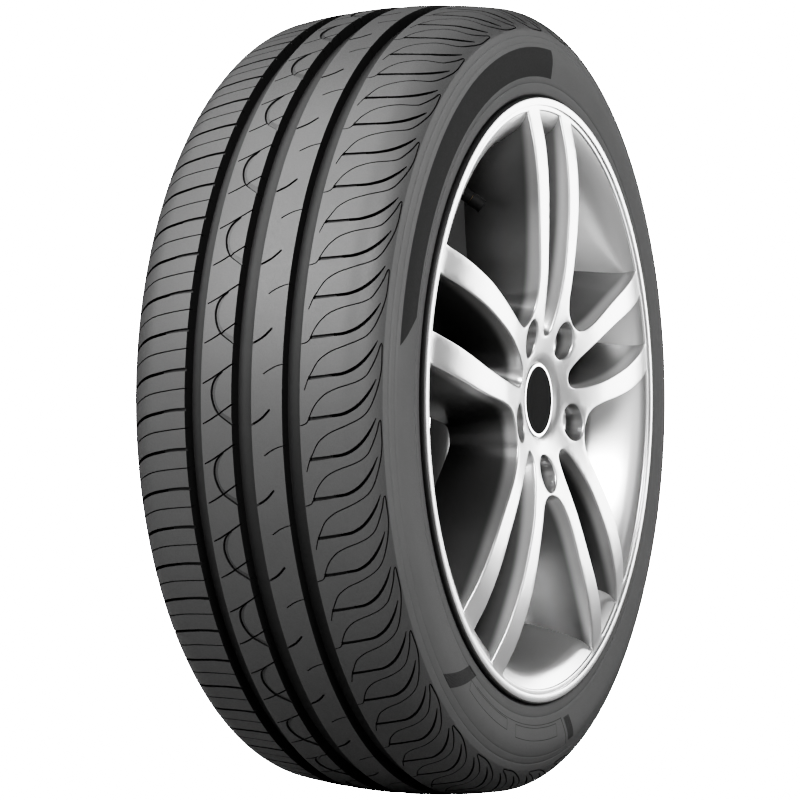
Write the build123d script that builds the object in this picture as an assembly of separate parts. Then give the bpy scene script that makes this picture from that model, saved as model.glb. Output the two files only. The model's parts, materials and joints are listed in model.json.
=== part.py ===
"""Mounted car wheel: 205/45 R17 summer tyre on a 7.5J x 17 alloy wheel, with centre cap and valve.

Millimetres. The spin axis is Y, the outboard face looks to -Y, +Z is up and the origin is on the
spin axis at the middle of the tyre. Sections are drawn as (radius, axial) and turned about Y.
"""

import os
from math import asin, cos, pi, radians, sin, sqrt, tan

from build123d import *

os.makedirs("parts", exist_ok=True)

# Tyre
tyre_radius = 308.15
section_half = 103.3
widest_drop = 42.15
crown_radius = 450.0
crown_half = 73.0
shoulder_radius = 31.0
shoulder_end = radians(66.0)
crown_thickness = 15.5
side_thickness = 8.5
groove_depth = 8.0
groove_draft = 1.2
groove_edges = [(-45.0, -32.2), (-9.2, 6.1), (30.5, 43.9)]
shoulder_pitches = 70
lateral_width = 1.9
lateral_sink = 2.0
inboard_lateral = [(63.6, -7.0), (radians(58.0), 7.0)]
outboard_lateral = [(68.5, 8.0), (radians(54.0), -8.0)]
bead_clearance = 0.3
side_gap = 1.4
side_lean = 4.3

# Rim
seat_radius = 215.9
seat_half = 95.25
seat_taper = tan(radians(5.0))
seat_length = 20.0
heel = 4.5
flange_outer = 104.0
flange_turn = 224.5
lip_width = 6.7
lip_step = 4.1
lip_chamfer = 1.6
flange_edge = 3.0
well_radius = 197.0
well_inner = 190.0
well_front = -60.0
well_back = -8.0
well_ramp = 16.0
ramp_lag = 2.0
barrel_wall = 6.0
barrel_inner = 204.0
funnel_front = -102.6
funnel_radius = 222.5
funnel_root = 211.0
funnel_back = -57.0
disc_back = -54.0
wheel_offset = 50.0

# Wheel face
spoke_pairs = 5
window_draft = 13.0 / 55.0
face_level = -107.0
bevel_top = (33.75, -95.2)
dome = [(62.0, -102.0), (105.0, -108.8), (168.0, -110.6)]
cut_front = -118.0
cut_back = -45.0
channel_depth = 30.0
channel_width = 13.0
channel_length = 60.0
channel_offset = 31.5
channel_middle = 148.0
window_overrun = 17.5

# Half outlines of the two kinds of window at the wheel face, as (along the ray, across it)
wide_side = [(74.2, 7.5), (83.0, 19.0), (128.0, 44.8), (168.0, 69.4), (205.7, 94.6)]
narrow_side = [(50.0, 3.5), (58.0, 9.0), (86.0, 15.0), (122.0, 19.2), (222.0, 21.0)]
narrow_back = [(97.0, 1.2), (100.0, 2.2), (112.0, 3.7), (130.0, 5.2), (222.0, 6.5)]

# Hub
hub_bore = 32.05
hub_bore_length = 20.0
pad_radius = 76.0
lug_circle = 57.15
lug_hole = 7.25
lug_pocket = 14.5
lug_floor = -86.0
lug_seat = 11.0
relief_radius = 9.5
relief_depth = 18.0

# Centre cap
cap_radius = 28.3
cap_face = -93.2
cap_head = 4.6
cap_rim = 2.0
cap_disc_thickness = 1.0
cap_skirt = 25.0
cap_wall = 2.0
cap_length = 15.0
cap_clearance = 0.2
cap_recess = 1.2
disc_clearance = 0.1
disc_sink = 0.3

# Valve
valve_angle = -36.0
valve_seat = (200.5, -66.0)
valve_tilt = radians(45.0)
valve_hole = 5.75
valve_wall = 4.0
valve_button = 9.0
valve_reach = 24.0
valve_tube = 3.85
valve_clearance = 0.1
spot_radius = 11.0
spot_front = 20.0
spot_back = 14.0


def ring(*points):
    """Solid of revolution about the spin axis from a closed section of straight lines."""
    return revolve(make_face(Polyline(*points, close=True)), Axis.Y)


def seat_at(a):
    return seat_radius - (seat_half - abs(a)) * seat_taper


widest_radius = tyre_radius - widest_drop
lip_inner = funnel_radius + lip_step
flange_radius = lip_inner + lip_width

# Tread surface: crown arc, then shoulder arc
crown_end = asin(crown_half / crown_radius)
crown_centre = tyre_radius - crown_radius
crown_edge = crown_centre + crown_radius * cos(crown_end)
shoulder_a = crown_half - shoulder_radius * sin(crown_end)
shoulder_r = crown_edge - shoulder_radius * cos(crown_end)


def crown_at(a):
    return crown_centre + sqrt(crown_radius**2 - a**2)


def shoulder_at(angle):
    return (shoulder_r + shoulder_radius * cos(angle), shoulder_a + shoulder_radius * sin(angle))


def tyre_section():
    """Closed section of the tyre: tread with its three grooves, sidewalls, beads and air space."""
    outside = [(crown_edge, crown_half)]
    for share in (0.36, 0.72, 1.0):
        outside.append(shoulder_at(crown_end + (shoulder_end - crown_end) * share))
    tip_r, tip_a = outside[-1]
    outside.append((tip_r - 0.45 * (tip_r - widest_radius), tip_a + 0.70 * (section_half - tip_a)))
    outside.append((widest_radius, section_half))
    base = flange_radius + side_gap
    drop = widest_radius - base
    foot = seat_half - bead_clearance
    outside.append((widest_radius - 0.45 * drop, section_half - 0.25 * side_lean))
    outside.append((widest_radius - 0.80 * drop, section_half - 0.80 * side_lean))
    outside.append((base, section_half - side_lean))
    outside.append((flange_turn + side_gap, foot))
    toe = seat_half - seat_length + 1.0
    outside.append((seat_at(seat_half) + heel, foot))
    outside.append((seat_at(seat_half - heel) + bead_clearance, seat_half - heel))
    outside.append((seat_at(toe) + bead_clearance, toe))
    inner = tyre_radius - crown_thickness
    inside = [
        (seat_at(toe) + 6.0, toe - 1.2),
        (widest_radius - 14.0, section_half - side_thickness - 2.5),
        (widest_radius + 6.0, section_half - side_thickness - 1.0),
        (inner - 3.0, crown_half - 4.0),
    ]
    tread = []
    for low, high in groove_edges:
        floor = crown_at((low + high) / 2) - groove_depth
        tread += [(crown_at(low), low), (floor, low + groove_draft), (floor, high - groove_draft)]
        tread.append((crown_at(high), high))
    half = outside + inside
    return tread + half + [(r, -a) for r, a in reversed(half)]


def lateral(start, end, side):
    """One shoulder groove: a flat slot from a point on the crown out over the shoulder arc."""
    r0, a0 = crown_at(start[0]), start[0]
    r1, a1 = shoulder_at(end[0])
    lean = (asin(a0 / crown_radius) + end[0]) / 2
    out = Vector(cos(lean), side * sin(lean), 0)
    p0 = Vector(r0, side * a0, start[1])
    p1 = Vector(r1, side * a1, end[1])
    run = p1 - p0
    across = run.cross(out).normalized() * (lateral_width / 2)
    floor = [p0 - across, p0 + across, p1 + run * 0.1 + across, p1 + run * 0.1 - across]
    floor = [point - out * lateral_sink for point in floor]
    return Solid.extrude(Face(Wire.make_polygon(floor, close=True)), out * 20.0)


# One tread pitch with its two shoulder grooves, repeated round the tyre and joined into one piece
half_pitch = pi / shoulder_pitches
reach = tyre_radius + 10.0
spread_out = reach * tan(half_pitch)
wedge = make_face(Polyline((0, 0), (reach, spread_out), (reach, -spread_out), close=True))
wedge = extrude(Plane.XZ * wedge, 2 * section_half, both=True)
block = extrude(make_face(Polyline(*tyre_section(), close=True)), spread_out + 1.0, both=True) & wedge
block = block - lateral(*inboard_lateral, 1) - lateral(*outboard_lateral, -1)


def on_pitch_end(face):
    normal = face.normal_at()
    return abs(normal.Y) < 1e-6 and abs(abs(normal.Z) - cos(half_pitch)) < 1e-6


skin = [face for face in block.faces() if not on_pitch_end(face)]
pitch_angle = 360.0 / shoulder_pitches
skins = [face.rotate(Axis.Y, pitch_angle * k) for k in range(shoulder_pitches) for face in skin]
tyre = Solid(Shell(skins))

# Wheel blank: flanges, bead seats, drop centre, domed face and hub in one turned section
seat_end = seat_half - seat_length
hub_face = -wheel_offset
cap_seat = cap_face + cap_head
skirt_bore = cap_skirt + cap_clearance
bore_end = hub_face - hub_bore_length


def flange(side):
    """Tyre side of one flange, from its rim to the end of the bead seat."""
    points = [
        (flange_radius, flange_outer - lip_chamfer),
        (flange_radius, flange_outer - lip_chamfer - flange_edge),
        (flange_turn, seat_half),
        (seat_at(seat_half), seat_half),
        (seat_at(seat_end), seat_end),
    ]
    return [(r, side * a) for r, a in points]


wheel = ring(
    bevel_top,
    *dome,
    (funnel_radius, funnel_front),
    (lip_inner, funnel_front),
    (lip_inner, -flange_outer),
    (flange_radius - lip_chamfer, -flange_outer),
    *flange(-1),
    (well_radius, well_front),
    (well_radius, well_back),
    (barrel_inner + barrel_wall, well_back + well_ramp),
    (barrel_inner + barrel_wall, seat_end - ramp_lag),
    *reversed(flange(1)),
    (flange_radius - lip_chamfer, flange_outer),
    (lip_inner, flange_outer),
    (funnel_root, seat_half),
    (barrel_inner, seat_end),
    (barrel_inner, well_back + well_ramp - ramp_lag),
    (well_inner, well_back - ramp_lag),
    (well_inner, disc_back),
    (pad_radius, disc_back),
    (pad_radius, hub_face),
    (hub_bore, hub_face),
    (hub_bore, bore_end),
    (skirt_bore, bore_end),
    (skirt_bore, cap_seat),
    (cap_radius + cap_clearance, cap_seat),
    (cap_radius + cap_clearance, cap_face + cap_recess),
)

funnel = ring(
    (0, cut_front),
    (funnel_radius, cut_front),
    (funnel_radius, funnel_front),
    (funnel_root, -seat_half),
    (well_inner, funnel_back),
    (well_inner, cut_back),
    (0, cut_back),
)


def beyond(side):
    """The half outline with its last edge carried out past the funnel."""
    (u0, w0), (u1, w1) = side[-2:]
    u = funnel_radius + window_overrun
    return side[:-1] + [(u, w1 + (w1 - w0) * (u - u1) / (u1 - u0))]


def outline(side, level):
    points = [Vector(w, level, u) for u, w in side]
    points += [Vector(-w, level, u) for u, w in reversed(side)]
    return Wire.make_polygon(points, close=True)


def spread(side, grow):
    """The half outline moved out by the same distance on every edge."""
    points = [(side[0][0], -side[0][1])] + side
    lines = []
    for (u0, w0), (u1, w1) in zip(points, points[1:]):
        size = sqrt((u1 - u0) ** 2 + (w1 - w0) ** 2)
        du, dw = (u1 - u0) / size, (w1 - w0) / size
        lines.append((u0 - grow * dw, w0 + grow * du, du, dw))
    moved = []
    for (u0, w0, du0, dw0), (u1, w1, du1, dw1) in zip(lines, lines[1:]):
        t = ((u1 - u0) * dw1 - (w1 - w0) * du1) / (du0 * dw1 - dw0 * du1)
        moved.append((u0 + t * du0, w0 + t * dw0))
    return moved + [(points[-1][0] - grow * dw, points[-1][1] + grow * du)]


out = (face_level - cut_front) * window_draft
inn = (cut_back - face_level) * window_draft
wide_front = outline(spread(beyond(wide_side), out), cut_front)
wide = Solid.make_loft([wide_front, outline(spread(beyond(wide_side), -inn), cut_back)], ruled=True)
narrow_front = outline([(u - out, w + out) for u, w in beyond(narrow_side)], cut_front)
narrow = Solid.make_loft([narrow_front, outline(beyond(narrow_back), cut_back)], ruled=True)
wide = funnel & wide
narrow = funnel & narrow
step = 360.0 / spoke_pairs
low = (Align.CENTER, Align.CENTER, Align.MIN)
high = (Align.CENTER, Align.CENTER, Align.MAX)
cone_height = (lug_seat - lug_hole) / tan(radians(30))
lug = Pos(0, 0, lug_circle) * Rot(90, 0, 0)
lug_tools = [
    lug * Pos(0, 0, -lug_floor) * Cylinder(lug_pocket, lug_floor - cut_front, align=low),
    lug * Pos(0, 0, -lug_floor - cone_height / 2) * Cone(lug_hole, lug_seat, cone_height),
    lug * Pos(0, 0, -lug_floor) * Cylinder(lug_hole, cut_back - lug_floor, align=high),
]
relief = Pos(0, hub_face, lug_circle) * Rot(90, 0, 0) * Cylinder(relief_radius, 2 * relief_depth)
cuts = []
for k in range(spoke_pairs):
    on_pair = step * k
    between = step * (k + 0.5)
    cuts += [tool.rotate(Axis.Y, on_pair) for tool in (narrow, relief)]
    cuts.append(wide.rotate(Axis.Y, between))
    cuts += [tool.rotate(Axis.Y, between) for tool in lug_tools]
    for side in (1, -1):
        place = Pos(side * channel_offset, disc_back, channel_middle)
        channel = place * Box(channel_width, 2 * channel_depth, channel_length)
        cuts.append(channel.rotate(Axis.Y, on_pair))

# Valve hole with a flat seat on both faces of the rim wall
valve_dir = Vector(0, -sin(valve_tilt), -cos(valve_tilt))
valve_plane = Plane(origin=(0, valve_seat[1], valve_seat[0]), x_dir=(1, 0, 0), z_dir=valve_dir)


def on_valve(shape):
    return (valve_plane * shape).rotate(Axis.Y, valve_angle)


wall_half = valve_wall / 2
cuts.append(on_valve(Cylinder(valve_hole, spot_front + spot_back)))
cuts.append(on_valve(Pos(0, 0, wall_half) * Cylinder(spot_radius, spot_front, align=low)))
cuts.append(on_valve(Pos(0, 0, -wall_half) * Cylinder(spot_radius, spot_back, align=high)))
alloy_wheel = wheel.cut(*cuts)

# Centre cap: clip-in body with a bright rim, and the dark disc set in it
disc_radius = cap_radius - cap_rim
disc_floor = cap_face + cap_disc_thickness + disc_sink
centre_cap = ring(
    (0, disc_floor),
    (disc_radius, disc_floor),
    (disc_radius, cap_face),
    (cap_radius, cap_face),
    (cap_radius, cap_seat),
    (cap_skirt, cap_seat),
    (cap_skirt, cap_face + cap_length),
    (cap_skirt - cap_wall, cap_face + cap_length),
    (cap_skirt - cap_wall, cap_seat),
    (0, cap_seat),
)
cap_disc = ring(
    (0, disc_floor - cap_disc_thickness),
    (disc_radius - disc_clearance, disc_floor - cap_disc_thickness),
    (disc_radius - disc_clearance, disc_floor),
    (0, disc_floor),
)


def turned(*points):
    """Solid of revolution about the valve's own axis."""
    section = make_face(Plane.XZ * Polyline(*points, close=True))
    return on_valve(revolve(section, Axis.Z))


# Snap-in valve: rubber stem, brass tube through it, screw cap
stem_bore = valve_tube - 0.6
neck = valve_hole - valve_clearance
valve_stem = turned(
    (stem_bore, -wall_half - 5.0),
    (valve_button, -wall_half - 5.0),
    (valve_button, -wall_half),
    (neck, -wall_half),
    (neck, wall_half),
    (neck + 1.8, wall_half),
    (neck + 1.8, wall_half + 3.0),
    (valve_tube + 0.9, wall_half + 3.0),
    (valve_tube + 0.9, valve_reach),
    (stem_bore, valve_reach),
)
valve_tube_part = turned(
    (1.6, -wall_half - 5.0),
    (stem_bore, -wall_half - 5.0),
    (stem_bore, valve_reach),
    (valve_tube, valve_reach),
    (valve_tube, valve_reach + 8.0),
    (1.6, valve_reach + 8.0),
)
valve_cap = turned(
    (0, valve_reach + 8.0),
    (valve_tube + valve_clearance, valve_reach + 8.0),
    (valve_tube + valve_clearance, valve_reach + 0.3),
    (valve_tube + 1.2, valve_reach + 0.3),
    (valve_tube + 1.2, valve_reach + 10.5),
    (0, valve_reach + 10.5),
)

export_step(tyre, "parts/tyre.step")
export_step(alloy_wheel, "parts/alloy_wheel.step")
export_step(centre_cap, "parts/centre_cap.step")
export_step(cap_disc, "parts/cap_disc.step")
export_step(valve_stem, "parts/valve_stem.step")
export_step(valve_tube_part, "parts/valve_tube.step")
export_step(valve_cap, "parts/valve_cap.step")
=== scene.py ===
import json
from math import asin, atan2, cos, degrees, pi, radians, sin

import bmesh
import bpy
import numpy as np
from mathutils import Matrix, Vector
from mathutils.geometry import delaunay_2d_cdt

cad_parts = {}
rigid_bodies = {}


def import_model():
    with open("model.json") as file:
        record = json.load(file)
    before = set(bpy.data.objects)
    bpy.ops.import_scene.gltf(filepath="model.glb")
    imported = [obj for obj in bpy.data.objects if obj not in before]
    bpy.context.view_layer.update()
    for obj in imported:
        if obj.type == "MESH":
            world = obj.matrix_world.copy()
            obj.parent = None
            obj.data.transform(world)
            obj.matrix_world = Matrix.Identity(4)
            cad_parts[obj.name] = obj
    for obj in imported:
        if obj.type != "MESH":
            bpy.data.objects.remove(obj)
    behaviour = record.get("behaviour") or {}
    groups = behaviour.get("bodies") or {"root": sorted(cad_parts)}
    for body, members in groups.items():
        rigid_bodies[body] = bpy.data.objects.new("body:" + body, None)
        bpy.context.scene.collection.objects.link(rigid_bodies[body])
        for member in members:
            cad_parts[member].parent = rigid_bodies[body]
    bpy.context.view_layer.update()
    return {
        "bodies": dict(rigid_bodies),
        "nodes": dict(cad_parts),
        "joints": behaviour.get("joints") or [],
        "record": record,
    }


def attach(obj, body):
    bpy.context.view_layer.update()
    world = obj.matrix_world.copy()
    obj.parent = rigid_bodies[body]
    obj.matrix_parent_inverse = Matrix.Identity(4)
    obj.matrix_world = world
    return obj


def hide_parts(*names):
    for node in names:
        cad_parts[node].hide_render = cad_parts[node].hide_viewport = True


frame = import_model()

MM = 0.001  # shapes are drawn in millimetres

# Tyre: one double pitch of tread is drawn flat as (distance across, distance round), cut to depth and
# repeated round the tyre. Distance across runs from the middle, plus towards the car.
TREAD_R = 308.1
CROWN_R, CROWN_HALF = 450.0, 73.0
SHOULDER_R, SHOULDER_END = 31.0, radians(66.0)
TILES = 35
PITCH = 2 * pi * TREAD_R / TILES
RIM_POINTS = 9  # points of a sidewall ring on one tile
GRID_STEPS = 8  # steps of plain tread along one tile
CROWN_ROWS = np.arange(-72, 73, 6.0)
SHOULDER_FIRST, SHOULDER_STEP = 75.5, 2.6
ROW_CLEAR, END_CLEAR, GRID_CLEAR = 0.8, 0.7, 0.9  # least distance of a plain point from grooves and cuts
SAME, SNAP = 1e-5, 1e-4  # points of the flat mesh nearer than this are one; so are points and tile ends
crown_end = asin(CROWN_HALF / CROWN_R)
crown_c = TREAD_R - CROWN_R
shoulder_a = CROWN_HALF - SHOULDER_R * sin(crown_end)
shoulder_r = crown_c + CROWN_R * cos(crown_end) - SHOULDER_R * cos(crown_end)
T_CROWN = CROWN_R * crown_end
T_END = T_CROWN + SHOULDER_R * (SHOULDER_END - crown_end)
START = radians(14.0)  # where the first tile begins, up from the front of the tyre


def on_tread(t):
    """Radius, axial place and outward normal at a distance across the tread."""
    side = -1 if t < 0 else 1
    if abs(t) <= T_CROWN:
        angle, r0, a0, size = abs(t) / CROWN_R, crown_c, 0.0, CROWN_R
    else:
        angle, r0, a0, size = crown_end + (abs(t) - T_CROWN) / SHOULDER_R, shoulder_r, shoulder_a, SHOULDER_R
    return r0 + size * cos(angle), side * (a0 + size * sin(angle)), cos(angle), side * sin(angle)


def smooth_line(points, per=4):
    """Catmull-Rom curve through the points, which may carry a third value such as a width."""
    p = [np.array(q, float) for q in points]
    p = [2 * p[0] - p[1]] + p + [2 * p[-1] - p[-2]]
    out = []
    for a, b, c, d in zip(p, p[1:], p[2:], p[3:]):
        for k in range(per):
            x = k / per
            out.append(0.5 * (2 * b + (c - a) * x + (2 * a - 5 * b + 4 * c - d) * x**2
                              + (3 * b - a - 3 * c + d) * x**3))
    out.append(p[-2])
    return np.array(out)


def stroke(points, per=2):
    """Outline of a cut that follows (across, round, width) points."""
    line = smooth_line(points, per)
    run = np.gradient(line[:, :2], axis=0)
    run /= np.linalg.norm(run, axis=1)[:, None]
    off = np.stack([-run[:, 1], run[:, 0]], 1) * line[:, 2:] / 2
    return np.concatenate([line[:, :2] + off, (line[:, :2] - off)[::-1]])


GROOVES = [(30.5, 44.0), (-9.2, 6.1), (-45.1, -32.2)]
GROOVE_DEPTH, GROOVE_DRAFT = 7.8, 0.9
CHAMFER_DEEP, CHAMFER_SHALLOW, CHAMFER_WIDTH = 1.1, 0.1, 3.0  # at the arc, at its far edge, between them
DEPTHS = {"tread": 0.0, "chamfer": CHAMFER_DEEP, "shallow": 1.6, "fine": 2.4, "sipe": 3.2, "cut": 5.5,
          "groove": GROOVE_DEPTH}
ORDER = list(DEPTHS)  # where cuts meet, the later kind wins

# Cuts as (across, round, width): the arcs and their chamfer, the curls and the leaves of the outboard shoulder
arc_line = [(13.6, 55.9, 0.5), (18.6, 60.0, 0.8), (21.1, 64.4, 0.9), (22.1, 70.0, 0.9),
            (21.5, 75.0, 0.9), (19.5, 80.6, 0.85), (16.1, 85.4, 0.7), (11.1, 89.0, 0.6),
            (4.6, 93.3, 0.5)]
arc_edge = [(13.0, 56.3), (16.2, 60.5), (18.0, 65.0), (19.0, 71.0), (17.9, 77.5), (14.9, 82.3),
            (9.6, 86.0), (4.6, 88.2)]
curl = [(-44.0, 37.7, 0.6), (-48.9, 36.3, 0.7), (-51.0, 34.0, 0.75), (-52.6, 30.0, 0.75),
        (-55.1, 25.0, 0.75), (-58.3, 20.6, 0.75), (-63.3, 16.0, 0.75), (-70.8, 12.3, 0.75),
        (-79.5, 9.4, 0.75), (-85.8, 6.9, 0.75), (-90.8, 3.4, 0.8), (-93.5, -0.6, 0.85),
        (-96.4, -6.5, 0.9), (-98.9, -12.8, 0.9), (-100.5, -18.6, 0.9), (-101.5, -20.8, 0.8)]
leaf = [(-48.5, 68.8, 0.6), (-51.0, 61.3, 0.75), (-53.3, 56.9, 0.75), (-57.0, 50.0, 0.75),
        (-60.8, 46.0, 0.75), (-67.0, 41.9, 0.75), (-74.5, 38.8, 0.75), (-79.5, 36.6, 0.75),
        (-85.8, 33.5, 0.75), (-90.8, 29.8, 0.8), (-94.5, 24.6, 0.85), (-97.6, 17.5, 0.9),
        (-100.1, 10.0, 0.9), (-101.9, 2.5, 0.9), (-102.7, -5.0, 0.9), (-102.6, -13.0, 0.9),
        (-102.3, -19.6, 0.9), (-101.6, -21.0, 0.8)]
once = [  # on each tile
    ("sipe", stroke(arc_line, 3)),
    ("chamfer", np.concatenate([smooth_line([q[:2] for q in arc_line], 3), smooth_line(arc_edge, 3)[::-1]])),
    ("sipe", stroke([(-7.2, 37.9, 1.4), (-16.4, 32.8, 1.5), (-22.6, 26.9, 1.4), (-22.9, 26.5, 0.8)], 4)),
    ("fine", stroke([(-18.0, 57.9, 0.5), (-18.6, 57.4, 0.8), (-23.3, 54.4, 0.8), (-28.3, 52.1, 0.7),
                     (-34.2, 50.6, 0.5)])),
    ("fine", stroke(curl, 3)),
    ("fine", stroke(leaf, 3)),
]
twice = [  # two on each tile
    ("shallow", stroke([(43.0, 26.5, 2.4), (50.5, 26.8, 2.2), (58.0, 27.6, 2.1), (63.6, 28.6, 2.0)])),
    ("cut", stroke([(63.6, 28.6, 2.0), (70.5, 30.0, 2.1), (76.8, 31.6, 2.1), (83.0, 34.0, 2.1),
                    (89.3, 37.2, 2.0), (94.3, 40.0, 1.7), (99.0, 43.3, 1.2), (102.2, 45.8, 0.5)])),
    ("fine", stroke([(43.0, 11.8, 0.7), (49.3, 12.4, 0.75), (58.0, 13.4, 0.75), (70.5, 15.3, 0.8),
                     (79.3, 17.9, 0.8), (89.3, 22.5, 0.8), (94.3, 25.4, 0.7), (99.0, 28.5, 0.4)])),
    ("fine", stroke([(29.0, 64.0, 0.8), (20.5, 59.7, 1.05), (4.4, 49.8, 1.0)], 4)),
    ("shallow", stroke([(-51.3, 32.9, 2.4), (-60.0, 31.9, 2.2), (-67.4, 30.8, 2.0)])),
    ("cut", stroke([(-67.4, 30.8, 2.0), (-74.5, 29.8, 2.1), (-79.5, 27.9, 2.2), (-84.5, 24.8, 2.2),
                    (-89.5, 19.9, 2.0), (-94.5, 12.9, 1.5), (-98.5, 5.2, 0.6)])),
]
cuts = once + twice + [(kind, shape + (0, PITCH / 2)) for kind, shape in twice]
cuts = [(kind, shape + (0, PITCH * k)) for kind, shape in cuts for k in (-2, -1, 0, 1)]
cuts = [(kind, shape) for kind, shape in cuts if shape[:, 1].max() > 0 and shape[:, 1].min() < PITCH]
arc_copies = [np.array([q[:2] for q in arc_line]) + (0, PITCH * k) for k in (-2, -1, 0, 1)]


def near_line(points, line):
    """Distance from each point to a polyline."""
    best = np.full(len(points), 1e9)
    for a, b in zip(line, line[1:]):
        d = b - a
        x = np.clip(((points - a) @ d) / max(d @ d, 1e-12), 0, 1)
        best = np.minimum(best, np.linalg.norm(points - a - x[:, None] * d, axis=1))
    return best


def inside(points, shape):
    """Which points lie inside a closed outline."""
    x, y = points[:, 0], points[:, 1]
    hit = np.zeros(len(points), bool)
    for (x0, y0), (x1, y1) in zip(shape, np.roll(shape, -1, axis=0)):
        crosses = (y0 > y) != (y1 > y)
        if y0 != y1:
            hit ^= crosses & (x < (x1 - x0) * (y - y0) / (y1 - y0) + x0)
    return hit


def flat_mesh(points, edges):
    """Triangles of the plane that keep every edge."""
    made = delaunay_2d_cdt([Vector(p) for p in points], edges, [], 0, SAME)
    return np.array([tuple(v) for v in made[0]]), [tuple(f) for f in made[2]]


def clip_round(a, b):
    """The part of an edge that lies within one tile, or None."""
    lo, hi = 0.0, 1.0
    d = b[1] - a[1]
    for edge, sign in ((0.0, 1), (PITCH, -1)):
        fa, fb = sign * (a[1] - edge), sign * (b[1] - edge)
        if fa < 0 and fb < 0:
            return None
        if fa < 0:
            lo = max(lo, (edge - a[1]) / d)
        if fb < 0:
            hi = min(hi, (edge - a[1]) / d)
    if hi - lo < 1e-9:
        return None
    p, q = a + (b - a) * lo, a + (b - a) * hi
    return p, q


def tread_tile():
    """Vertices, faces and normals of one double pitch, with its left and right ends matched."""
    points, edges, ends = [], [], set()

    def add(p):
        points.append((float(p[0]), float(min(max(p[1], 0.0), PITCH))))
        return len(points) - 1

    for kind, shape in cuts:
        for a, b in zip(shape, np.roll(shape, -1, axis=0)):
            part = clip_round(a, b)
            if part:
                edges.append((add(part[0]), add(part[1])))
                for q in part:
                    if min(q[1], PITCH - q[1]) < 1e-6:
                        ends.add(round(float(q[0]), 4))
    groove_ts = [e for g in GROOVES for e in g]
    shoulder = np.arange(SHOULDER_FIRST, T_END - 1, SHOULDER_STEP)
    rows = list(CROWN_ROWS) + [k * s for k in shoulder for s in (-1, 1)]
    rows = [t for t in rows if all(abs(t - e) > ROW_CLEAR for e in groove_ts)]
    for low, high in GROOVES:
        for t in (low, high):
            line = [add((t, PITCH * k / GRID_STEPS)) for k in range(GRID_STEPS + 1)]
            edges.extend(zip(line, line[1:]))
    for t in (-T_END, T_END):
        line = [add((t, PITCH * k / RIM_POINTS)) for k in range(RIM_POINTS + 1)]
        edges.extend(zip(line, line[1:]))
    plain = {t for t in rows if all(abs(t - e) > END_CLEAR for e in ends)}
    stations = sorted(set(groove_ts + [-T_END, T_END]) | ends | plain)
    for s in (0.0, PITCH):
        line = [add((t, s)) for t in stations]
        edges.extend(zip(line, line[1:]))
    grid = np.array([(t, PITCH * (k + 0.5 * (i % 2)) / GRID_STEPS)
                     for i, t in enumerate(rows) for k in range(1, GRID_STEPS)])
    clear = np.full(len(grid), 1e9)
    for kind, shape in cuts:
        clear = np.minimum(clear, near_line(grid, np.vstack([shape, shape[:1]])))
    for p in grid[clear > GRID_CLEAR]:
        add(p)
    flat, tris = flat_mesh(points, edges)
    flat[:, 1][flat[:, 1] < SNAP] = 0.0
    flat[:, 1][flat[:, 1] > PITCH - SNAP] = PITCH
    corners = np.array(tris)
    middle = flat[corners].mean(axis=1)
    level = np.zeros(len(tris), int)
    for kind, shape in cuts:
        level = np.where(inside(middle, shape), np.maximum(level, ORDER.index(kind)), level)
    for low, high in GROOVES:
        level = np.where((middle[:, 0] > low) & (middle[:, 0] < high), ORDER.index("groove"), level)
    to_arc = np.min([near_line(flat, line) for line in arc_copies], axis=0)
    index, verts, normals, keys = {}, [], [], []

    def vertex(i, kind):
        if (i, kind) not in index:
            t, s = flat[i]
            depth = DEPTHS[ORDER[kind]]
            if ORDER[kind] == "chamfer":
                depth -= (CHAMFER_DEEP - CHAMFER_SHALLOW) * min(1.0, to_arc[i] / CHAMFER_WIDTH)
            if ORDER[kind] == "groove":
                for low, high in GROOVES:
                    t += GROOVE_DRAFT * (abs(t - low) < 1e-3) - GROOVE_DRAFT * (abs(t - high) < 1e-3)
            r, a, nr, na = on_tread(t)
            index[i, kind] = len(verts)
            verts.append((r - nr * depth, a - na * depth, s / TREAD_R))
            normals.append((nr, na))
            keys.append((kind, round(float(flat[i][0]), 3), float(flat[i][1])))
        return index[i, kind]

    faces, marks, across = [], [], {}
    for tri, kind in zip(tris, level):
        faces.append(tuple(vertex(i, kind) for i in tri))
        marks.append(ORDER[kind])
        for i, j in zip(tri, tri[1:] + tri[:1]):
            across[i, j] = kind
    for (i, j), kind in across.items():
        other = across.get((j, i), kind)
        if other > kind:
            quad = (vertex(j, kind), vertex(i, kind), vertex(i, other), vertex(j, other))
            faces.append(quad)
            marks.append("wall")
    return np.array(verts), np.array(normals), keys, faces, marks


def spin(r, a, back):
    """Points on the tyre from radius, axial place and the angle travelled down its front."""
    up = START - back
    return np.stack([-r * np.cos(up), a, r * np.sin(up)], -1)


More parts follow.
